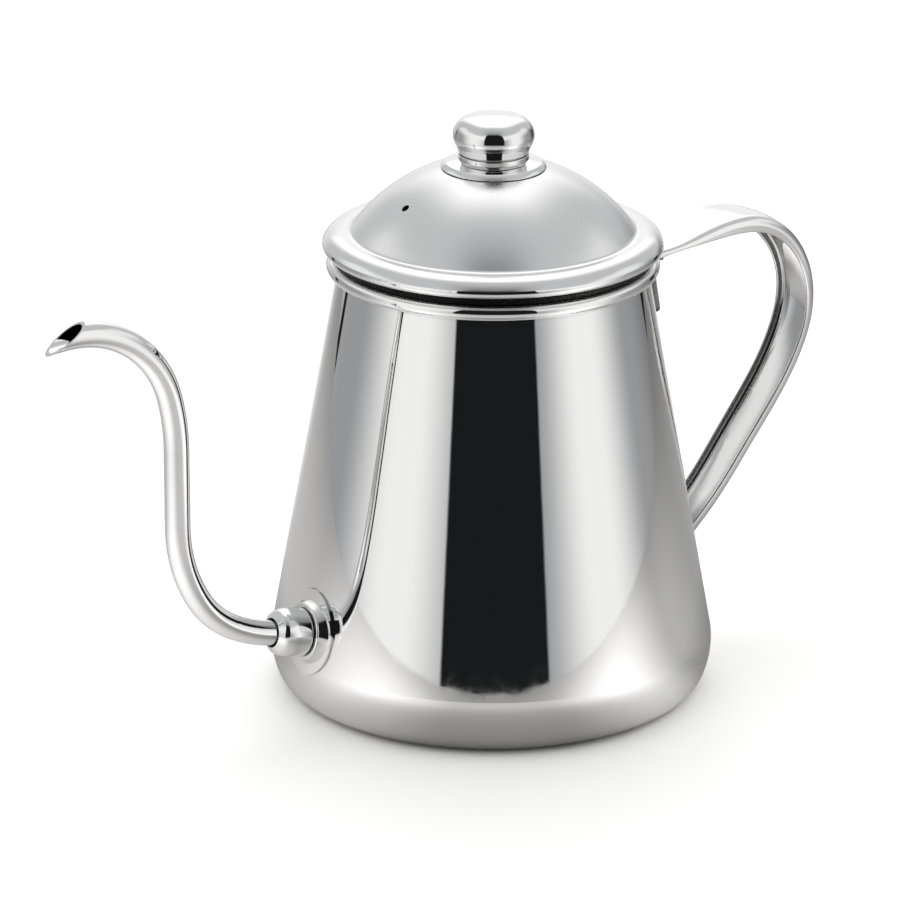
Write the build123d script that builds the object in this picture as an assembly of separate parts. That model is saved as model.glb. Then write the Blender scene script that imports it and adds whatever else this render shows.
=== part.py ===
from build123d import *

import math
import os

# A gooseneck pour-over kettle. Millimetres, +Z up, origin at the centre of the base.
# The spout points along -X and the handle along +X.

# Vessel: rounded foot, cone, rolled rim
body_sheet = 0.8
body_radius = 62.5
foot_arc_radius = 8.0
hip_arc_radius = 21.4
foot_to_hip_angle = -22.0
cone_half_angle = 10.16
rim_curl_radius = 2.1
rim_curl_height = 123.5
rim_curl_end_angle = -108.0
foot_flange_inner_radius = 46.0

# Base pan, welded on top of the foot flange
pan_clearance = 0.5
pan_recess_radius = 44.0
pan_recess_rise = 0.9

# Spout
spout_root_height = 26.3
tube_radius = 3.55
tube_wall = 0.6
tube_inside_length = 3.0
spout_straight_root = 12.4
spout_lower_bends = [(41.5, 20.0), (28.5, 28.6), (43.0, 31.24)]
spout_riser = 22.4
spout_upper_bends = [(63.0, 14.0), (30.3, 76.0), (60.0, 12.0)]
mouth_cut_low = (140.0, 123.4)
mouth_cut_high = (129.8, 130.0)

# Flange and ferrule, measured outward from the wall along the spout's root
flange_half_width = 10.6
flange_half_height = 12.2
flange_sheet = 0.7
flange_hub_foot = (-0.6, 10.0)
flange_hub_cove = (0.7, 8.9)
flange_hub_radius = 8.0
flange_hub_height = 2.8
flange_hub_rounding = 0.5
ferrule_radius = 6.85
ferrule_heel_rounding = 0.9
ferrule_straight_end = 7.8
ferrule_taper_radius = 8.0
ferrule_taper_angle = 20.0
ferrule_nose_radius = 2.8
ferrule_nose_angle = 50.0
mouth_radius = 4.15
mouth_depth = 1.0
inner_ring_radius = 7.5
inner_ring_thickness = 1.0

# Handle: pressed C channel, open towards the vessel
handle_sheet = 1.0
handle_corner = 2.5
handle_arch_angle = 17.0
handle_root_arch_angle = 3.0
handle_width_crest = 17.8
handle_width_bend = 15.5
handle_width_foot = 14.5
handle_back = [
    (41.0, 120.4),
    (50.0, 120.5),
    (57.5, 121.3),
    (66.0, 123.4),
    (79.0, 125.6),
    (93.5, 122.0),
    (104.6, 110.0),
    (107.7, 96.0),
    (102.3, 77.7),
    (87.0, 55.5),
    (78.8, 44.6),
    (57.0, 21.8),
]
handle_foot_heading = (-0.7, -0.71)
handle_stations = 16
handle_top_depth = 2.2
handle_crest_depth = 4.8
handle_grip_depth = 4.3
bracket_sheet = 1.0
bracket_slack = 0.2
strap_width = 13.6
strap_thickness = 2.1
upper_bracket_reach = 9.0
shoe_depth = 4.3
shoe_low = 101.0
shoe_top = 117.2
shoe_corner = 2.5
lower_bracket_low = 34.0
lower_bracket_rise = 11.0

# Lid
lid_sheet = 0.7
dome_radius = 48.85
dome_centre_height = 104.86
dome_foot_fillet = 1.6
brim_radius = 47.5
brim_height = 133.3
brim_roll_radius = 5.8
brim_roll_angle = 30.0
brim_edge_radius = 1.6
brim_hem_radius = 44.3
vent_radius = 1.15
vent_distance = 28.9
knob_seat_radius = 8.0
collar_skirt_gap = 0.4
collar_rest_gap = 0.05
collar_skirt_depth = 12.0
collar_wall_top = 130.2

# Knob stack, counted up from the lid's seat
swivel_gap = 0.05
shank_gap = 0.08
gasket_thickness = 0.4
gasket_radius = 6.2
skirt_radius = 14.7
skirt_under_gap = 0.2
skirt_edge_thickness = 0.2
skirt_edge_middle = (14.2, 152.5)
skirt_shoulder = (13.4, 153.1)
skirt_top_height = 154.1
ring_radius = 9.85
ring_top_height = 155.5
waist_radius = 9.5
waist_top_height = 155.9
ring_rounding = 0.3
head_radius = 11.35
head_widest_height = 160.7
head_flank_angle = 23.0
head_foot_rounding = 0.4
shoulder_radius = 5.2
crown_angle = 80.0
knob_shell = 1.0
insert_boss_radius = 4.5
insert_boss_top = 162.6
screw_radius = 2.0
screw_head_radius = 4.0
screw_head_height = 2.6
screw_end_height = 161.4
washer_radius = 5.0
washer_thickness = 0.8
lock_washer_radius = 3.7
lock_washer_thickness = 1.0
lock_washer_slit = 0.8
drive_slot_width = 1.0
drive_slot_depth = 1.3

cone_sine = math.sin(math.radians(cone_half_angle))
cone_cosine = math.cos(math.radians(cone_half_angle))


def at_angle(centre, radius, degrees):
    """Point of a circle, from its centre, radius and angle."""
    turn = math.radians(degrees)
    return (centre[0] + radius * math.cos(turn), centre[1] + radius * math.sin(turn))


def arc(centre, radius, start, end):
    """Arc from one angle to another, going the way the angles run."""
    middle = at_angle(centre, radius, (start + end) / 2)
    return ThreePointArc(at_angle(centre, radius, start), middle, at_angle(centre, radius, end))


def chain(*lines):
    """One wire from lines that meet end to end."""
    return Wire([edge for line in lines for edge in line.edges()])


def turned(outline):
    """Solid of revolution about Z from a closed outline of (radius, height) lines."""
    return revolve(Plane.XZ * make_face(outline.edges()), Axis.Z)


def skin_edge(run, shift):
    """One edge of a sheet's skin, moved a distance to the left of the way it runs."""
    if len(run) == 2:
        (start_x, start_y), (end_x, end_y) = run
        length = math.hypot(end_x - start_x, end_y - start_y)
        left_x = -(end_y - start_y) / length * shift
        left_y = (end_x - start_x) / length * shift
        return Line((start_x + left_x, start_y + left_y), (end_x + left_x, end_y + left_y))
    centre, radius, start, end = run
    inward = shift if end > start else -shift
    return arc(centre, radius - inward, start, end)


def turned_sheet(runs, thickness):
    """Sheet of revolution about Z: its skin and the same skin one thickness to the left.

    A run is (start, end) for a line or (centre, radius, start angle, end angle) for an arc,
    and each run carries on smoothly from the one before.
    """
    skin = [skin_edge(run, 0.0) for run in runs]
    back = [skin_edge(run, thickness) for run in runs]
    ends = [Line(skin[0] @ 0, back[0] @ 0), Line(skin[-1] @ 1, back[-1] @ 1)]
    return turned(chain(*skin, *back, *ends))


def ring(inner, outer, low, high):
    """Flat ring about Z."""
    height = high - low
    blank = Cylinder(outer, height, align=(Align.CENTER, Align.CENTER, Align.MIN))
    if inner > 0:
        blank -= Cylinder(inner, height, align=(Align.CENTER, Align.CENTER, Align.MIN))
    return Pos(0, 0, low) * blank


# The vessel's outer face: foot arc, hip arc, then the cone up to the rim
hip_drop = (hip_arc_radius - foot_arc_radius) * math.sin(math.radians(foot_to_hip_angle))
hip_centre = (body_radius - hip_arc_radius, foot_arc_radius - hip_drop)
foot_centre = at_angle(hip_centre, hip_arc_radius - foot_arc_radius, foot_to_hip_angle)
cone_foot = at_angle(hip_centre, hip_arc_radius, cone_half_angle)


def wall_radius(height):
    """Radius of the cone's outer face at a height."""
    return cone_foot[0] - (height - cone_foot[1]) * cone_sine / cone_cosine


# The rim curl touches the line of the cone's inner face
curl_offset = rim_curl_radius - body_sheet
curl_centre = (wall_radius(rim_curl_height) + curl_offset / cone_cosine, rim_curl_height)
opening_radius = curl_centre[0] - rim_curl_radius
rim_top_height = curl_centre[1] + rim_curl_radius


def body_shell(spout_hole):
    """Cone with rounded foot, inward foot flange and rim rolled outward."""
    curl_start = 180 + cone_half_angle
    curl_skin = rim_curl_radius - body_sheet
    runs = [
        ((foot_flange_inner_radius, 0), (foot_centre[0], 0)),
        (foot_centre, foot_arc_radius, -90, foot_to_hip_angle),
        (hip_centre, hip_arc_radius, foot_to_hip_angle, cone_half_angle),
        (cone_foot, at_angle(curl_centre, curl_skin, curl_start)),
        (curl_centre, curl_skin, curl_start, rim_curl_end_angle),
    ]
    return turned_sheet(runs, body_sheet) - spout_hole


def base_pan():
    """Bottom disc on the foot flange, with its middle pressed up."""
    under = body_sheet
    edge = foot_centre[0] - pan_clearance
    slope = pan_recess_rise
    skin = chain(
        Polyline(
            (0, under + pan_recess_rise),
            (pan_recess_radius - slope, under + pan_recess_rise),
            (pan_recess_radius, under),
            (edge, under),
        )
    )
    top = Polyline(
        (edge, under),
        (edge, under + body_sheet),
        (pan_recess_radius + body_sheet / 2, under + body_sheet),
        (pan_recess_radius - slope + body_sheet / 2, under + body_sheet + pan_recess_rise),
        (0, under + body_sheet + pan_recess_rise),
        (0, under + pan_recess_rise),
    )
    return turned(chain(skin, top))


# Spout frame: X outward along the root's axis, square to the cone
root = Vector(-wall_radius(spout_root_height), 0, spout_root_height)
root_direction = Vector(-cone_cosine, 0, cone_sine)
root_plane = Plane(root, x_dir=(0, 1, 0), z_dir=root_direction)


def spout_path(inner_length):
    """Centre line of the spout, drawn in the plane of the spout."""
    distance = -root.X
    height = root.Z
    heading = cone_half_angle
    start = (distance - inner_length * cone_cosine, height - inner_length * cone_sine)
    end = (
        distance + spout_straight_root * cone_cosine,
        height + spout_straight_root * cone_sine,
    )
    lines = [Line(start, end)]
    for radius, turn in spout_lower_bends:
        lines.append(bend(lines[-1] @ 1, heading, radius, turn))
        heading += turn
    riser_start = lines[-1] @ 1
    lines.append(Line(riser_start, riser_start + Vector(0, spout_riser)))
    for radius, turn in spout_upper_bends:
        lines.append(bend(lines[-1] @ 1, heading, radius, -turn))
        heading -= turn
    return chain(*lines)


def bend(start, heading, radius, turn):
    """Arc that leaves a point along a heading and turns by an angle."""
    side = math.copysign(1, turn)
    centre = at_angle((start.X, start.Y), radius, heading + 90 * side)
    return arc(centre, radius, heading - 90 * side, heading - 90 * side + turn)


def spout_plane():
    """Drawing plane of the spout: distance from the axis along -X, height along Z."""
    return Plane((0, 0, 0), x_dir=(-1, 0, 0), z_dir=(0, 1, 0))


def spout_tube():
    """Thin bent tube, cut on the slant at its mouth."""
    path = spout_plane() * spout_path(tube_inside_length)
    start = Plane(path @ 0, x_dir=(0, 1, 0), z_dir=path % 0)
    wall = start * (Circle(tube_radius) - Circle(tube_radius - tube_wall))
    tube = sweep(wall, path=path)
    return tube - mouth_cutter()


def mouth_cutter():
    """Block above the slanting line of the mouth."""
    low = Vector(-mouth_cut_low[0], 0, mouth_cut_low[1])
    high = Vector(-mouth_cut_high[0], 0, mouth_cut_high[1])
    cut = Plane(low, x_dir=(high - low).normalized(), z_dir=Vector(0, 1, 0).cross(low - high))
    block = 60.0
    return cut * Box(block, block, block, align=(Align.CENTER, Align.CENTER, Align.MIN))


def on_root(outline):
    """Turned part about the spout's root, from (distance outward, radius) lines."""
    flat = make_face(Plane((0, 0, 0), x_dir=(0, 0, 1), z_dir=(0, 1, 0)) * outline)
    return root_plane * revolve(flat, Axis.Z)


def root_rod(radius, inward, outward):
    """Rod along the spout's root from inside the wall to outside."""
    rod = Cylinder(radius, inward + outward, align=(Align.CENTER, Align.CENTER, Align.MIN))
    return root_plane * (Pos(0, 0, -inward) * rod)


def spout_flange():
    """Oval escutcheon wrapped on the wall, with a raised hub."""
    reach = 6.0
    oval = root_plane * Ellipse(flange_half_width, flange_half_height)
    sheet = extrude(oval, reach, both=True) & cone_offset(-flange_sheet)
    rounding = flange_hub_rounding
    outline = chain(
        Polyline((-reach, 0), (-reach, flange_hub_foot[1]), flange_hub_foot),
        ThreePointArc(flange_hub_foot, flange_hub_cove, (flange_hub_height - rounding, flange_hub_radius)),
        arc((flange_hub_height - rounding, flange_hub_radius - rounding), rounding, 90, 0),
        Polyline((flange_hub_height, flange_hub_radius - rounding), (flange_hub_height, 0), (-reach, 0)),
    )
    return (sheet + on_root(outline)) - cone_offset(0) - root_rod(tube_radius, 2 * reach, reach)


def spout_ferrule():
    """Barrel-shaped socket with a tapering nose, round the foot of the tube."""
    heel = ferrule_heel_rounding
    taper = ferrule_taper_angle
    taper_centre = (ferrule_straight_end, ferrule_radius - ferrule_taper_radius)
    taper_end = at_angle(taper_centre, ferrule_taper_radius, 90 - taper)
    nose_centre = at_angle(taper_centre, ferrule_taper_radius - ferrule_nose_radius, 90 - taper)
    nose_end = at_angle(nose_centre, ferrule_nose_radius, 90 - ferrule_nose_angle)
    face_slope = math.tan(math.radians(ferrule_nose_angle))
    end = nose_end[0] + (nose_end[1] - mouth_radius) / face_slope
    outline = chain(
        Line((flange_hub_height, 0), (flange_hub_height, ferrule_radius - heel)),
        arc((flange_hub_height + heel, ferrule_radius - heel), heel, 180, 90),
        Line((flange_hub_height + heel, ferrule_radius), (ferrule_straight_end, ferrule_radius)),
        arc(taper_centre, ferrule_taper_radius, 90, 90 - taper),
        arc(nose_centre, ferrule_nose_radius, 90 - taper, 90 - ferrule_nose_angle),
        Polyline(nose_end, (end, mouth_radius), (end, 0), (flange_hub_height, 0)),
    )
    mouth = Pos(0, 0, end - mouth_depth / 2) * Cone(tube_radius, mouth_radius, mouth_depth)
    return on_root(outline) - root_rod(tube_radius, 1, end + 1) - root_plane * mouth


def spout_inner_ring():
    """Ring inside the wall that the tube's end is brazed to."""
    deepest = 4.0
    inner_face = root_plane * Pos(0, 0, -body_sheet) * Pos(0, 0, -deepest)
    blank = inner_face * Cylinder(
        inner_ring_radius, deepest, align=(Align.CENTER, Align.CENTER, Align.MIN)
    )
    core = cone_offset(body_sheet) - cone_offset(body_sheet + inner_ring_thickness)
    return (blank & core) - root_rod(tube_radius, 2 * deepest, deepest)


def cone_offset(depth):
    """Lower cone as a full solid, its face a depth inside the vessel's outer face."""
    step = depth / cone_cosine
    top = 60.0
    return turned(
        Polyline(
            (0, 0),
            (wall_radius(0) - step, 0),
            (wall_radius(top) - step, top),
            (0, top),
            close=True,
        )
    )


def smooth(value, start, end):
    """Smooth step from 0 at the start to 1 at the end."""
    share = min(max((value - start) / (end - start), 0.0), 1.0)
    return share * share * (3 - 2 * share)


def handle_width(share):
    """Width of the grip at a share of its length."""
    upper = handle_width_crest + (handle_width_bend - handle_width_crest) * smooth(share, 0.2, 0.45)
    return upper + (handle_width_foot - handle_width_bend) * smooth(share, 0.5, 1.0)


def handle_depth(share):
    """Height of the channel's side walls at a share of its length."""
    crest = handle_top_depth + (handle_crest_depth - handle_top_depth) * smooth(share, 0.08, 0.22)
    return crest + (handle_grip_depth - handle_crest_depth) * smooth(share, 0.3, 0.5)


def handle_arch(share):
    """How far the channel's back is arched, as an angle to each side."""
    return handle_root_arch_angle + (handle_arch_angle - handle_root_arch_angle) * smooth(share, 0.2, 0.45)


def channel_section(width, depth, arch):
    """C section with an arched back, rounded corners and rounded lips; the crown lies on Y = 0."""
    half = width / 2
    sheet = handle_sheet
    lip = depth - sheet / 2
    rise = math.tan(math.radians(arch / 2))
    corner = min(handle_corner, (lip - sheet / 5 - half * rise) / (1 - rise))
    span = (half - corner) / math.sin(math.radians(arch))
    crown_centre = (0, span + corner)
    corner_centre = at_angle(crown_centre, span, arch - 90)
    right = chain(
        arc(corner_centre, corner, arch - 90, 0),
        Line((half, corner_centre[1]), (half, lip)),
        arc((half - sheet / 2, lip), sheet / 2, 0, 180),
        Line((half - sheet, lip), (half - sheet, corner_centre[1])),
        arc(corner_centre, corner - sheet, 0, arch - 90),
    )
    outer_back = arc(crown_centre, span + corner, -90 - arch, arch - 90)
    inner_back = arc(crown_centre, span + corner - sheet, -90 - arch, arch - 90)
    left = right.mirror(Plane.YZ)
    return make_face(chain(outer_back, right, inner_back, left))


def handle_channel():
    """Grip lofted through C sections along its back line, trimmed to the wall."""
    back = Plane.XZ * Spline(*handle_back, tangents=[(1, 0), handle_foot_heading])
    stations = handle_stations
    sections = []
    for index in range(stations + 1):
        share = index / stations
        frame = Plane(back @ share, x_dir=(0, -1, 0), z_dir=back % share)
        section = channel_section(handle_width(share), handle_depth(share), handle_arch(share))
        sections.append(frame * section)
    return loft(sections) - vessel_filled()


def vessel_filled():
    """The vessel's outer volume up to the rim, for trimming what meets the wall."""
    top = rim_curl_height
    outline = chain(
        Line((0, 0), (foot_centre[0], 0)),
        arc(foot_centre, foot_arc_radius, -90, foot_to_hip_angle),
        arc(hip_centre, hip_arc_radius, foot_to_hip_angle, cone_half_angle),
        Polyline(cone_foot, (wall_radius(top), top), (0, top), (0, 0)),
    )
    return turned(outline)


def lid_shell():
    """Domed lid with brim, rolled edge, knob seat and vent hole."""
    dome_centre = (0, dome_centre_height)
    seat_height = dome_centre_height + math.sqrt(dome_radius**2 - knob_seat_radius**2)
    seat_angle = math.degrees(math.acos(knob_seat_radius / dome_radius))
    tightening = brim_roll_radius - brim_edge_radius
    edge_reach = brim_radius - brim_edge_radius
    turn = math.radians(brim_roll_angle)
    roll_centre = (edge_reach - tightening * math.cos(turn), brim_height - brim_roll_radius)
    edge_centre = at_angle(roll_centre, tightening, brim_roll_angle)
    fillet = dome_foot_fillet
    fillet_height = brim_height + fillet
    fillet_reach = dome_radius + fillet
    fillet_radius = math.sqrt(fillet_reach**2 - (fillet_height - dome_centre_height) ** 2)
    fillet_centre = (fillet_radius, fillet_height)
    foot_angle = math.degrees(math.atan2(fillet_height - dome_centre_height, fillet_radius))
    hem_height = edge_centre[1] - brim_edge_radius
    runs = [
        (dome_centre, dome_radius, seat_angle, foot_angle),
        (fillet_centre, fillet, 180 + foot_angle, 270),
        ((fillet_radius, brim_height), (roll_centre[0], brim_height)),
        (roll_centre, brim_roll_radius, 90, brim_roll_angle),
        (edge_centre, brim_edge_radius, brim_roll_angle, -90),
        ((edge_centre[0], hem_height), (brim_hem_radius, hem_height)),
    ]
    seat = ring(0, knob_seat_radius, seat_height - lid_sheet, seat_height)
    shell = turned_sheet(runs, -lid_sheet) + seat
    return shell - screw_hole() - vent_hole()


def screw_hole():
    """Hole through the lid's seat for the knob screw."""
    return ring(0, screw_radius + shank_gap, dome_centre_height, knob_top_height)


def vent_hole():
    """Steam hole on the spout's side, square to the dome."""
    rise = math.sqrt(dome_radius**2 - vent_distance**2)
    centre = Vector(-vent_distance, 0, dome_centre_height + rise)
    outward = Vector(-vent_distance, 0, rise)
    return Plane(centre, z_dir=outward) * Cylinder(vent_radius, 6 * lid_sheet)


def lid_collar():
    """Ring under the lid: skirt in the neck, ledge over the rim, wall up to the hem."""
    skirt = opening_radius - collar_skirt_gap
    ledge = rim_top_height + collar_rest_gap
    low = ledge - collar_skirt_depth
    corner = 1.0
    runs = [
        ((skirt, low), (skirt, ledge - corner)),
        ((skirt + corner, ledge - corner), corner, 180, 90),
        ((skirt + corner, ledge), (brim_hem_radius - lid_sheet, ledge)),
    ]
    ledge_sheet = turned_sheet(runs, lid_sheet)
    wall = ring(brim_hem_radius - lid_sheet, brim_hem_radius, ledge, collar_wall_top)
    return ledge_sheet + wall


# The head's crown carries on smoothly from its shoulder
crown_edge = at_angle((head_radius - shoulder_radius, head_widest_height), shoulder_radius, crown_angle)
top_radius = crown_edge[0] / math.cos(math.radians(crown_angle))
knob_top_height = crown_edge[1] + top_radius * (1 - math.sin(math.radians(crown_angle)))

lid_seat_height = dome_centre_height + math.sqrt(dome_radius**2 - knob_seat_radius**2)
gasket_low = lid_seat_height + swivel_gap
skirt_low = gasket_low + gasket_thickness
washer_top = lid_seat_height - lid_sheet - swivel_gap
lock_top = washer_top - washer_thickness
screw_head_top = lock_top - lock_washer_thickness


def knob_gasket():
    """Thin seal between the lid's seat and the knob's skirt."""
    return ring(screw_radius + 2 * shank_gap, gasket_radius, gasket_low, skirt_low)


def knob_skirt():
    """Low flared disc with a rounded edge, hollow beneath to follow the dome."""
    dome_centre = (0, dome_centre_height)
    under_radius = dome_radius + skirt_under_gap
    under_start = math.degrees(math.acos(skirt_radius / under_radius))
    under_end = math.degrees(math.asin((skirt_low - dome_centre_height) / under_radius))
    edge_low = at_angle(dome_centre, under_radius, under_start)
    edge_high = (skirt_radius, edge_low[1] + skirt_edge_thickness)
    seat_edge = at_angle(dome_centre, under_radius, under_end)
    foot = (ring_radius, skirt_top_height)
    outline = chain(
        Polyline((0, skirt_top_height), (0, skirt_low), seat_edge),
        arc(dome_centre, under_radius, under_end, under_start),
        Line(edge_low, edge_high),
        ThreePointArc(edge_high, skirt_edge_middle, skirt_shoulder),
        Polyline(skirt_shoulder, foot, (0, skirt_top_height)),
    )
    return turned(outline) - ring(0, screw_radius, skirt_low - 1, skirt_top_height + 1)


def knob_collar():
    """Neck ring between the skirt and the head, with a narrow waist on top."""
    rounding = ring_rounding
    outline = chain(
        Polyline((screw_radius, skirt_top_height), (ring_radius, skirt_top_height)),
        Line((ring_radius, skirt_top_height), (ring_radius, ring_top_height - rounding)),
        arc((ring_radius - rounding, ring_top_height - rounding), rounding, 0, 90),
        Polyline(
            (ring_radius - rounding, ring_top_height),
            (waist_radius - rounding, ring_top_height),
            (waist_radius - rounding, waist_top_height),
            (screw_radius, waist_top_height),
            (screw_radius, skirt_top_height),
        ),
    )
    return turned(outline)


def knob_cap():
    """Pressed hollow head: tapered flank, round shoulder and low crown."""
    rounding = head_foot_rounding
    flank = math.radians(head_flank_angle)
    shoulder_centre = (head_radius - shoulder_radius, head_widest_height)
    foot_height = waist_top_height + rounding
    lean = (foot_height - head_widest_height) * math.tan(flank)
    foot_radius = shoulder_centre[0] + lean + (shoulder_radius - rounding) / math.cos(flank)
    foot_centre_point = (foot_radius, foot_height)
    foot_end = at_angle(foot_centre_point, rounding, -head_flank_angle)
    flank_end = at_angle(shoulder_centre, shoulder_radius, -head_flank_angle)
    outside = chain(
        Line((waist_radius, waist_top_height), (foot_radius, waist_top_height)),
        arc(foot_centre_point, rounding, -90, -head_flank_angle),
        Line(foot_end, flank_end),
        arc(shoulder_centre, shoulder_radius, -head_flank_angle, crown_angle),
        arc((0, knob_top_height - top_radius), top_radius, crown_angle, 90),
    )
    inner_radius = waist_radius - knob_shell / 2
    inside = Polyline(
        (0, knob_top_height),
        (0, knob_top_height - knob_shell),
        (shoulder_centre[0], knob_top_height - 1.6 * knob_shell),
        (inner_radius, head_widest_height),
        (inner_radius, waist_top_height),
        (waist_radius, waist_top_height),
    )
    return turned(chain(outside, inside))


def knob_insert():
    """Threaded core that closes the head and takes the screw."""
    plug_radius = waist_radius - knob_shell / 2
    plug_top = waist_top_height + 1.6
    outline = Polyline(
        (screw_radius, waist_top_height),
        (plug_radius, waist_top_height),
        (plug_radius, plug_top),
        (insert_boss_radius, plug_top),
        (insert_boss_radius, insert_boss_top),
        (screw_radius, insert_boss_top),
        close=True,
    )
    return turned(outline)


def knob_screw():
    """Round-headed slotted screw, put in from inside the lid."""
    head_low = screw_head_top - screw_head_height
    edge = 1.2
    outline = chain(
        Polyline((0, screw_end_height), (0, head_low), (screw_head_radius - edge, head_low)),
        arc((screw_head_radius - edge, head_low + edge), edge, -90, 0),
        Polyline(
            (screw_head_radius, head_low + edge),
            (screw_head_radius, screw_head_top),
            (screw_radius, screw_head_top),
            (screw_radius, screw_end_height - 0.5),
            (screw_radius - 0.5, screw_end_height),
            (0, screw_end_height),
        ),
    )
    slot = Pos(0, 0, head_low) * Box(3 * screw_head_radius, drive_slot_width, 2 * drive_slot_depth)
    return turned(outline) - slot


def knob_washer():
    """Flat washer against the inside of the lid."""
    return ring(screw_radius + shank_gap, washer_radius, lock_top, washer_top)


def knob_lock_washer():
    """Split spring washer, flattened, with its slit."""
    blank = ring(screw_radius + shank_gap, lock_washer_radius, screw_head_top, lock_top)
    slit = Box(
        lock_washer_radius * 2,
        lock_washer_slit,
        3 * lock_washer_thickness,
        align=(Align.MIN, Align.CENTER, Align.CENTER),
    )
    return blank - Pos(0, 0, lock_top) * Rot(0, 0, 35) * slit


def upper_bracket():
    """Strap inside the top of the grip, joined to a pressed shoe that stands on the neck."""
    low = handle_back[0][1] - handle_sheet - bracket_slack - strap_thickness
    length = shoe_depth + upper_bracket_reach
    strap = Pos(wall_radius(low) - shoe_depth, 0, low) * Box(
        length, strap_width, strap_thickness, align=(Align.MIN, Align.CENTER, Align.MIN)
    )
    return (strap + shoe()) - neck_layer(0)


def shoe():
    """Box pressed from sheet, open towards the neck and closed by the strap above."""
    wide = handle_width_crest - bracket_slack
    tall = 2 * (shoe_top - shoe_low)
    outer = shoe_block(wide, tall, shoe_depth)
    inner = shoe_block(wide - 2 * bracket_sheet, tall - 2 * bracket_sheet, shoe_depth - bracket_sheet)
    above = Pos(0, 0, shoe_top) * Box(
        4 * body_radius, 4 * body_radius, tall, align=(Align.CENTER, Align.CENTER, Align.MIN)
    )
    return outer - inner - above


def shoe_block(wide, tall, depth):
    """Round-cornered block standing a depth out from the neck, centred on the shoe's top edge."""
    outward = Vector(cone_cosine, 0, cone_sine)
    face = Plane((wall_radius(shoe_top), 0, shoe_top), x_dir=(0, 1, 0), z_dir=outward)
    block = extrude(face * RectangleRounded(wide, tall, shoe_corner), depth)
    return block + extrude(face * RectangleRounded(wide, tall, shoe_corner), -shoe_depth)


def neck_layer(thick):
    """Full cone whose face lies a thickness outside the vessel's wall."""
    step = thick / cone_cosine
    low = 20.0
    top = rim_curl_height
    return turned(
        Polyline(
            (0, low),
            (wall_radius(low) + step, low),
            (wall_radius(top) + step, top),
            (0, top),
            close=True,
        )
    )


def lower_bracket():
    """Saddle against the wall inside the lower end of the grip."""
    width = handle_width_foot - 2 * handle_sheet - 2 * bracket_slack
    block = Pos(wall_radius(lower_bracket_low) / 2, 0, lower_bracket_low) * Box(
        body_radius, width, lower_bracket_rise, align=(Align.MIN, Align.CENTER, Align.MIN)
    )
    return block & (neck_layer(bracket_sheet) - neck_layer(0))


def build_nodes():
    """Every separate piece of the kettle by name."""
    return {
        "body_shell": body_shell(root_rod(tube_radius, 10, 10)),
        "base_pan": base_pan(),
        "spout_tube": spout_tube(),
        "spout_ferrule": spout_ferrule(),
        "spout_flange": spout_flange(),
        "spout_inner_ring": spout_inner_ring(),
        "handle_channel": handle_channel(),
        "handle_upper_bracket": upper_bracket(),
        "handle_lower_bracket": lower_bracket(),
        "lid_shell": lid_shell(),
        "lid_collar": lid_collar(),
        "knob_gasket": knob_gasket(),
        "knob_skirt": knob_skirt(),
        "knob_collar": knob_collar(),
        "knob_cap": knob_cap(),
        "knob_insert": knob_insert(),
        "knob_screw": knob_screw(),
        "knob_washer": knob_washer(),
        "knob_lock_washer": knob_lock_washer(),
    }


os.makedirs("parts", exist_ok=True)
for name, solid in build_nodes().items():
    export_step(solid, f"parts/{name}.step")
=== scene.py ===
import math

import bpy
from mathutils import Matrix, Vector

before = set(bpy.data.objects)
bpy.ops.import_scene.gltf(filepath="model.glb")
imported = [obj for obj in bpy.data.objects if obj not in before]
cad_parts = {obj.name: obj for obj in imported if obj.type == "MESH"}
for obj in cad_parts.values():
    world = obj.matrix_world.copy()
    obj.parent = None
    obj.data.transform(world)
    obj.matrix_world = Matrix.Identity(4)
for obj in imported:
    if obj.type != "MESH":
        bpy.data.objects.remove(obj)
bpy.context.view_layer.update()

# ---------------------------------------------------------------- camera
TURN = math.radians(-33.5)  # how far the camera stands round from the kettle's side, towards the spout
REACH = 1.5  # m from the kettle's axis, along the floor
HEIGHT = 0.60645  # m above the floor
PITCH = 0.34454  # radians down from level
YAW = -0.0078954  # radians, so that the axis lands a little right of the middle
ROLL = 0.002495  # radians
SENSOR = 36.0  # mm
LENS = 226.57  # mm
CLIP = (0.05, 20.0)  # m


def make_camera():
    data = bpy.data.cameras.new("camera")
    data.sensor_width = SENSOR
    data.lens = LENS
    data.clip_start, data.clip_end = CLIP
    camera = bpy.data.objects.new("camera", data)
    bpy.context.scene.collection.objects.link(camera)
    ahead = Vector((math.sin(YAW) * math.cos(PITCH), math.cos(YAW) * math.cos(PITCH), -math.sin(PITCH)))
    right = Vector((math.cos(YAW), -math.sin(YAW), 0.0))
    up = right.cross(ahead)
    across = math.cos(ROLL) * right + math.sin(ROLL) * up
    upright = math.cos(ROLL) * up - math.sin(ROLL) * right
    axes = Matrix((across, upright, -ahead)).transposed().to_4x4()
    place = Matrix.Translation((0.0, -REACH, HEIGHT))
    camera.matrix_world = Matrix.Rotation(TURN, 4, "Z") @ place @ axes
    bpy.context.scene.camera = camera


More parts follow.
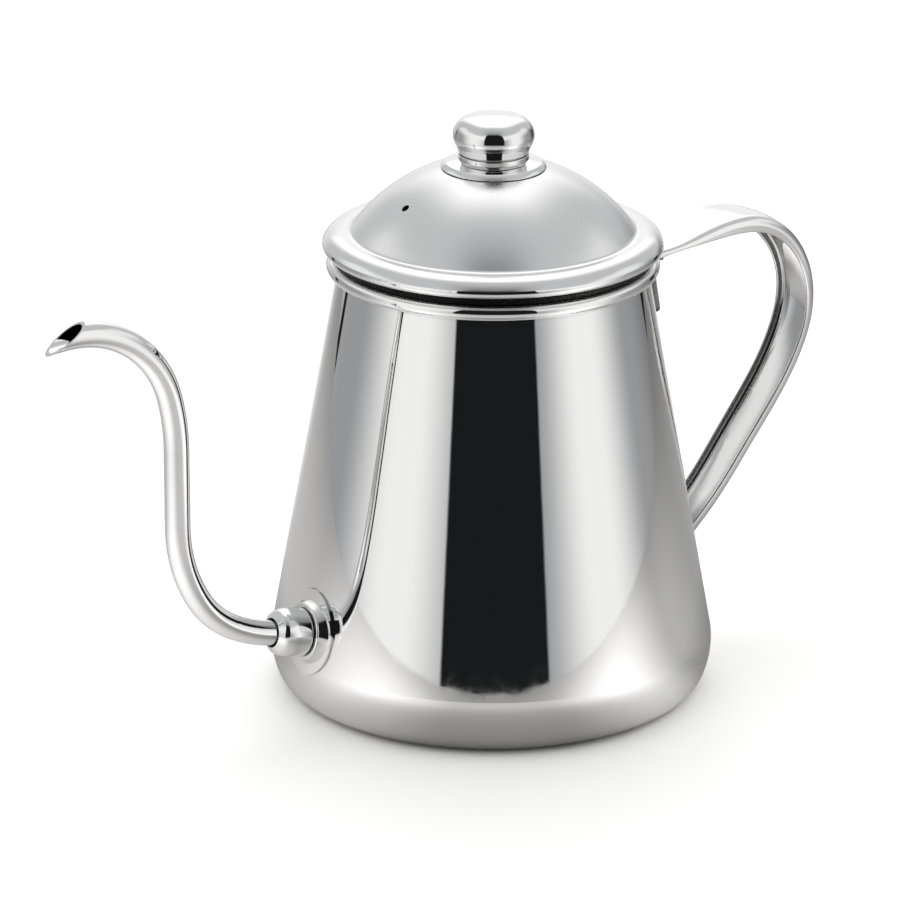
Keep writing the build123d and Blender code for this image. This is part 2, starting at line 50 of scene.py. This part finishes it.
# ---------------------------------------------------------------- node helpers
class Nodes:
    """A short way to write a node tree: every call makes one node and links its inputs."""

    def __init__(self, owner):
        owner.use_nodes = True
        self.tree = owner.node_tree
        self.tree.nodes.clear()

    def add(self, kind, inputs=None, **settings):
        node = self.tree.nodes.new(kind)
        for key, value in settings.items():
            setattr(node, key, value)
        for key, value in (inputs or {}).items():
            self.put(node.inputs[key], value)
        return node

    def put(self, socket, value):
        if isinstance(value, bpy.types.NodeSocket):
            self.tree.links.new(value, socket)
        else:
            socket.default_value = value

    def math(self, operation, a, b=0.0):
        return self.add("ShaderNodeMath", {0: a, 1: b}, operation=operation).outputs[0]

    def smooth(self, value, low, high, out_low=0.0, out_high=1.0):
        node = self.add(
            "ShaderNodeMapRange",
            {"Value": value, "From Min": low, "From Max": high, "To Min": out_low, "To Max": out_high},
            interpolation_type="SMOOTHSTEP",
        )
        return node.outputs["Result"]

    def blend(self, factor, a, b):
        node = self.add("ShaderNodeMix", data_type="FLOAT")
        self.put(node.inputs["Factor"], factor)
        self.put(node.inputs[2], a)
        self.put(node.inputs[3], b)
        return node.outputs[0]

    def steps(self, value, level, changes):
        """Starts at a level and eases to the next one over each range of the value in turn."""
        total = level
        for start, end, new_level in changes:
            total = self.math("ADD", total, self.smooth(value, start, end, 0.0, new_level - level))
            level = new_level
        return total

    def tint(self, brightness, red, blue):
        """A colour from a brightness and the shares of it that are red and blue."""
        red_part = self.math("MULTIPLY", brightness, red)
        blue_part = self.math("MULTIPLY", brightness, blue)
        return self.add("ShaderNodeCombineXYZ", {0: red_part, 1: brightness, 2: blue_part}).outputs[0]

    def mix(self, factor, a, b):
        node = self.add("ShaderNodeMix", data_type="RGBA")
        self.put(node.inputs["Factor"], factor)
        self.put(node.inputs[6], a)
        self.put(node.inputs[7], b)
        return node.outputs[2]

    def place(self):
        return self.add("ShaderNodeTexCoord").outputs["Object"]

    def noise(self, scale, detail):
        """Patches of about 1 / scale m."""
        inputs = {"Vector": self.place(), "Scale": scale, "Detail": detail}
        return self.add("ShaderNodeTexNoise", inputs).outputs["Fac"]

    def bump(self, height, strength, distance):
        inputs = {"Height": height, "Strength": strength, "Distance": distance}
        return self.add("ShaderNodeBump", inputs).outputs[0]

    def from_camera(self, vector):
        """A vector's parts to the camera's right, away from it and up, and its angle round in degrees."""
        inputs = {"Vector": vector, "Angle": -TURN}
        turned = self.add("ShaderNodeVectorRotate", inputs, rotation_type="Z_AXIS").outputs[0]
        right, away, up = self.add("ShaderNodeSeparateXYZ", {0: turned}).outputs
        around = self.math("ARCTAN2", right, self.math("MULTIPLY", away, -1.0))
        return right, away, up, self.math("DEGREES", around)


def grey(brightness):
    return (brightness, brightness, brightness, 1.0)


# ---------------------------------------------------------------- studio
# Brightnesses are as the polished steel shows them, angles are in degrees, and a direction's parts away
# from the camera, sideways and up are those of a vector 1 long.
STEEL = 0.78  # how much light the polished steel gives back
WALL_TOP = (46.0, 56.0)  # above level, where the walls end and the ceiling starts
BACK_DROP = 30.0  # how much lower the ceiling's light comes down behind the kettle
BACK = (0.35, 0.8)  # away from the camera, where that drop starts and is full
SIDE = (0.15, 0.50)  # sideways, where the ceiling's side light starts and is full
SIDE_LIGHT = 0.50
SIDE_DROP = 14.0  # how much lower the side light comes down
WALL_LIFT = (6.0, 26.0)  # above level, where the walls turn lighter, all but the black one
WALL_LIT = (0.03, 0.3)  # how bright a wall has to be to turn lighter
WALL_LIGHT = 0.85
LIFT_SHARE = 0.85
GAPS = ((-133, -130), (134, 140))  # the black gaps between the side walls and the back one
GAP_EDGE = 1.5
GAP_LIGHT = 0.01
GAP_FOOT = (-18.0, -13.0)  # above level, where the gaps start
GAP_HEAD = (8.0, 0.0)  # above level, where they end
CEILING_DIM = 0.20  # over the camera
CEILING_STEPS = ((-0.8, 0.05, 0.5), (0.0, 0.5, 1.2))  # away from the camera: it brightens twice to the back
# The walls from straight behind the kettle, by the left, the camera and the right, to behind it again: a back
# wall, a soft box on each side of the camera, and dim walls between. Each step has two angles and a brightness.
WALL_BACK = 0.80
WALL_STEPS = (
    (-180, -120, 0.30),
    (-105, -60, 0.85),
    (-50, -10, 0.30),
    (25, 60, 0.85),
    (70, 105, 0.30),
    (105, 145, 0.15),
    (145, 175, 0.80),
)
CARD = ((-27, -25), (31, 29))  # the edges of the black card round the camera
CARD_LIGHT = 0.01
COOL_BELOW = 0.75  # brightness under which the studio leans towards slate blue
COOL_LEAN = 0.06
BACKDROP = (1.0, 1.0, 1.0, 1.0)  # what the camera itself sees past the table


def cool(n, brightness):
    dimness = n.math("SUBTRACT", 1.0, n.math("DIVIDE", brightness, COOL_BELOW))
    lean = n.math("MULTIPLY", n.math("MAXIMUM", dimness, 0.0), COOL_LEAN)
    return n.tint(brightness, n.math("SUBTRACT", 1.0, lean), n.math("ADD", 1.0, lean))


def gap(n, around, elevation, low, high):
    """1 in the black gap between two angles round, 0 outside it."""
    start = n.smooth(around, low - GAP_EDGE, low)
    end = n.smooth(around, high + GAP_EDGE, high)
    foot = n.smooth(elevation, *GAP_FOOT)
    head = n.smooth(elevation, *GAP_HEAD)
    return n.math("MULTIPLY", n.math("MULTIPLY", start, end), n.math("MULTIPLY", foot, head))


def studio_walls(n, around, elevation):
    left, right = CARD
    card = n.math("MULTIPLY", n.smooth(around, *left), n.smooth(around, *right))
    walls = n.blend(card, n.steps(around, WALL_BACK, WALL_STEPS), CARD_LIGHT)
    lit = n.smooth(walls, *WALL_LIT)
    higher = n.smooth(elevation, *WALL_LIFT)
    lift = n.math("MULTIPLY", n.math("MULTIPLY", lit, higher), LIFT_SHARE)
    walls = n.blend(lift, walls, WALL_LIGHT)
    for low, high in GAPS:
        walls = n.blend(gap(n, around, elevation, low, high), walls, GAP_LIGHT)
    return walls


def make_studio():
    world = bpy.data.worlds.new("studio")
    bpy.context.scene.world = world
    n = Nodes(world)
    direction = n.add("ShaderNodeTexCoord").outputs["Generated"]
    right, away, up, around = n.from_camera(direction)
    elevation = n.math("DEGREES", n.math("ARCSINE", up))
    side = n.smooth(n.math("ABSOLUTE", right), *SIDE)
    back_drop = n.math("MULTIPLY", n.smooth(away, *BACK), BACK_DROP)
    side_drop = n.math("MULTIPLY", side, SIDE_DROP)
    drop = n.math("ADD", back_drop, side_drop)
    overhead = n.smooth(n.math("ADD", elevation, drop), *WALL_TOP)
    ceiling = n.blend(side, n.steps(away, CEILING_DIM, CEILING_STEPS), SIDE_LIGHT)
    room = n.blend(overhead, studio_walls(n, around, elevation), ceiling)
    light = cool(n, n.math("DIVIDE", room, STEEL))
    straight = n.add("ShaderNodeLightPath").outputs["Is Camera Ray"]
    background = n.add("ShaderNodeBackground", {"Color": n.mix(straight, light, BACKDROP)})
    n.add("ShaderNodeOutputWorld", {"Surface": background.outputs[0]})


# ---------------------------------------------------------------- table
# Outline of the white table seen from the camera: straight sides and back, and half an ellipse in front
TABLE_HALF = 0.45  # m from its middle to its sides
TABLE_ROUND = 0.65  # m that the rounded front reaches towards the camera
TABLE_LENGTH = 1.5  # m that it goes on behind the kettle
TABLE_POINTS = 24  # along the rounded front
TABLE_TOP = -0.0002  # m, just under the kettle's foot
# Painted light on the table, as it shows in the kettle, in steps as for the walls: the colour stands in for the
# light that the two soft boxes and the back wall throw on it from their sides
TABLE_BACK = 1.65
TABLE_STEPS = (
    (-180, -140, 0.75),
    (-105, -50, 1.70),
    (-50, -10, 0.85),
    (20, 60, 1.85),
    (60, 95, 0.70),
    (95, 130, 0.50),
    (145, 180, 1.65),
)
# The share of that painted light by the distance from the kettle's axis, m: painted shade close to the foot and
# darker far off
TABLE_NEAR = 0.7
TABLE_FAR_STEPS = ((0.06, 0.16, 1.1), (0.16, 0.6, 0.6))
TABLE_SEEN = (1.55, 1.54, 1.52, 1.0)  # as the camera sees it: exposed to white but for the contact shadow
TABLE_GRAIN = (900.0, 2.0)  # patches per m and detail
TABLE_RELIEF = (0.05, 0.0002)  # strength and height, m
WARM = (1.012, 0.982)  # red and blue against green


def white_table():
    material = bpy.data.materials.new("white_table")
    n = Nodes(material)
    relief = n.bump(n.noise(*TABLE_GRAIN), *TABLE_RELIEF)
    around = n.from_camera(n.place())[3]
    sheen = n.steps(around, TABLE_BACK, TABLE_STEPS)
    distance = n.add("ShaderNodeVectorMath", {0: n.place()}, operation="LENGTH").outputs["Value"]
    share = n.steps(distance, TABLE_NEAR, TABLE_FAR_STEPS)
    # painted light and shade: the table's colour in the kettle stands in for the soft boxes' light and the
    # shade near the foot
    sheen = n.tint(n.math("MULTIPLY", sheen, share), *WARM)
    in_the_steel = n.add("ShaderNodeBsdfDiffuse", {"Color": sheen, "Normal": relief})
    seen = n.add("ShaderNodeBsdfDiffuse", {"Color": TABLE_SEEN, "Normal": relief})
    straight = n.add("ShaderNodeLightPath").outputs["Is Camera Ray"]
    mixed = n.add("ShaderNodeMixShader", {0: straight, 1: in_the_steel.outputs[0], 2: seen.outputs[0]})
    n.add("ShaderNodeOutputMaterial", {"Surface": mixed.outputs[0]})
    return material


def table_outline():
    turns = [math.pi * i / TABLE_POINTS for i in range(TABLE_POINTS + 1)]
    front = [(-TABLE_HALF * math.cos(turn), -TABLE_ROUND * math.sin(turn)) for turn in turns]
    return [(-TABLE_HALF, TABLE_LENGTH), *front, (TABLE_HALF, TABLE_LENGTH)]


def make_floor():
    turn = Matrix.Rotation(TURN, 4, "Z")
    mesh = bpy.data.meshes.new("floor")
    outline = [turn @ Vector((x, y, 0.0)) for x, y in table_outline()]
    mesh.from_pydata(outline, [], [range(len(outline))])
    mesh.materials.append(white_table())
    floor = bpy.data.objects.new("floor", mesh)
    bpy.context.scene.collection.objects.link(floor)
    floor.location.z = TABLE_TOP


# ---------------------------------------------------------------- materials
CORNER = 0.0004  # m, how far wear reaches round an edge
CORNER_SAMPLES = 4
EDGE_LEAN = (1.0, 0.9)  # how far a rounded normal leans from the true one, where wear starts and is full
EDGE_WEAR = 0.06  # added roughness
# Finishes: patches per m, their detail, the part of the noise that is used, and the roughness over it
POLISHED = (400.0, 3.0, (0.35, 0.75), (0.02, 0.045))
SATIN = (1500.0, 2.0, (0.3, 0.7), (0.21, 0.235))
PLAIN = (700.0, 2.0, (0.3, 0.7), (0.22, 0.34))
# Painted shade in corners and gaps: how far round a spot the open air counts, m, the colour of a fully shaded
# spot, and the shares of open air where the painted shade is darkest and where there is none. The body and lid
# get it in their corners, the handle in its channel, and the plain steel, nearly black, in the narrow gap under
# the lid
BODY_SHADE = (0.002, grey(0.3), (0.3, 0.8))
LID_SHADE = (0.002, grey(0.3), (0.3, 0.8))
CHANNEL_SHADE = (0.014, (0.32, 0.32, 0.315, 1.0), (0.45, 0.97))
PLAIN_SHADE = (0.015, grey(0.01), (0.75, 0.99))
AIR_SAMPLES = 8
DULL_AIR = (0.9, 0.6)  # share of open air inside the handle, where the polish starts to go and is gone
DULL = 0.16  # roughness added there
WAVES = (35.0, 2.0)  # the slight waves of pressed sheet: patches per m and detail
WAVE_RELIEF = (0.02, 0.00003)  # strength and height, m
BRIM = (0.0051, 0.0056)  # m above the lid's hem, where the polished brim turns into the satin dome
BRIM_ROUGH = 0.03
TURNING_MARKS = 9000.0  # per m of height
MARK_ROUGH = 0.03
POLISHED_COLOUR = (STEEL, STEEL, 0.995 * STEEL, 1.0)
PLAIN_COLOUR = (0.62, 0.62, 0.61, 1.0)
RUBBER_COLOUR = grey(0.02)
RUBBER_ROUGH = 0.6
RUBBER_GRAIN = (3000.0, 2.0)  # patches per m and detail
RUBBER_RELIEF = (0.2, 0.0001)  # strength and height, m


def worn_edges(n):
    rounded = n.add("ShaderNodeBevel", {"Radius": CORNER}, samples=CORNER_SAMPLES).outputs[0]
    true = n.add("ShaderNodeNewGeometry").outputs["Normal"]
    lean = n.add("ShaderNodeVectorMath", {0: rounded, 1: true}, operation="DOT_PRODUCT").outputs["Value"]
    return n.math("MULTIPLY", n.smooth(lean, *EDGE_LEAN), EDGE_WEAR)


def finish(n, scale, detail, spread, rough):
    return n.smooth(n.noise(scale, detail), *spread, *rough)


def corner_shade(n, unshaded_colour, reach, shade_colour, shares):
    """The share of open air round a spot, and a colour that is painted darker where there is little: painted
    shade.
    """
    air = n.add("ShaderNodeAmbientOcclusion", {"Distance": reach}, samples=AIR_SAMPLES).outputs["AO"]
    return air, n.mix(n.smooth(air, *shares), shade_colour, unshaded_colour)


def surface(n, colour, roughness, **more):
    inputs = {"Base Color": colour, "Roughness": roughness, **more}
    shader = n.add("ShaderNodeBsdfPrincipled", inputs)
    n.add("ShaderNodeOutputMaterial", {"Surface": shader.outputs[0]})


def polished_steel(name, corners, dull=0.0):
    """Mirror steel with painted shade that darkens its corners, and can be duller there too."""
    material = bpy.data.materials.new(name)
    n = Nodes(material)
    air, colour = corner_shade(n, POLISHED_COLOUR, *corners)
    rough = n.math("ADD", finish(n, *POLISHED), worn_edges(n))
    if dull:
        rough = n.math("ADD", rough, n.smooth(air, *DULL_AIR, 0.0, dull))
    surface(n, colour, rough, Metallic=1.0, Normal=n.bump(n.noise(*WAVES), *WAVE_RELIEF))
    return material


def satin_steel(hem):
    """The lid: a satin dome with fine turning marks above a polished brim."""
    material = bpy.data.materials.new("look_satin_steel")
    n = Nodes(material)
    height = n.math("SUBTRACT", n.add("ShaderNodeSeparateXYZ", {0: n.place()}).outputs[2], hem)
    inputs = {"W": height, "Scale": TURNING_MARKS, "Detail": 1.0}
    marks = n.add("ShaderNodeTexNoise", inputs, noise_dimensions="1D").outputs["Fac"]
    dome = n.math("ADD", finish(n, *SATIN), n.math("MULTIPLY", marks, MARK_ROUGH))
    brim = n.math("ADD", BRIM_ROUGH, worn_edges(n))
    rough = n.math("ADD", n.math("MULTIPLY", dome, n.smooth(height, *BRIM)), brim)
    # painted shade darkens the lid's corners
    surface(n, corner_shade(n, grey(STEEL), *LID_SHADE)[1], rough, Metallic=1.0)
    return material


def plain_steel():
    """Unpolished steel, painted nearly black with shade in the narrow gap under the lid."""
    material = bpy.data.materials.new("look_plain_steel")
    n = Nodes(material)
    surface(n, corner_shade(n, PLAIN_COLOUR, *PLAIN_SHADE)[1], finish(n, *PLAIN), Metallic=1.0)
    return material


def seal():
    """Black rubber."""
    material = bpy.data.materials.new("look_seal")
    n = Nodes(material)
    surface(n, RUBBER_COLOUR, RUBBER_ROUGH, Normal=n.bump(n.noise(*RUBBER_GRAIN), *RUBBER_RELIEF))
    return material


def dress():
    hem = min(vertex.co.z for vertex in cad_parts["lid_shell"].data.vertices)
    looks = {
        "polished_steel": polished_steel("look_polished_steel", BODY_SHADE),
        "satin_steel": satin_steel(hem),
        "plain_steel": plain_steel(),
        "seal": seal(),
    }
    channel_steel = polished_steel("look_handle_steel", CHANNEL_SHADE, DULL)
    for name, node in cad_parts.items():
        for slot in node.material_slots:
            look = looks[slot.material.name.split(".")[0]]
            slot.material = channel_steel if name == "handle_channel" else look


make_camera()
make_studio()
make_floor()
dress()
bpy.context.scene.view_settings.view_transform = "Standard"
bpy.context.scene.view_settings.look = "None"
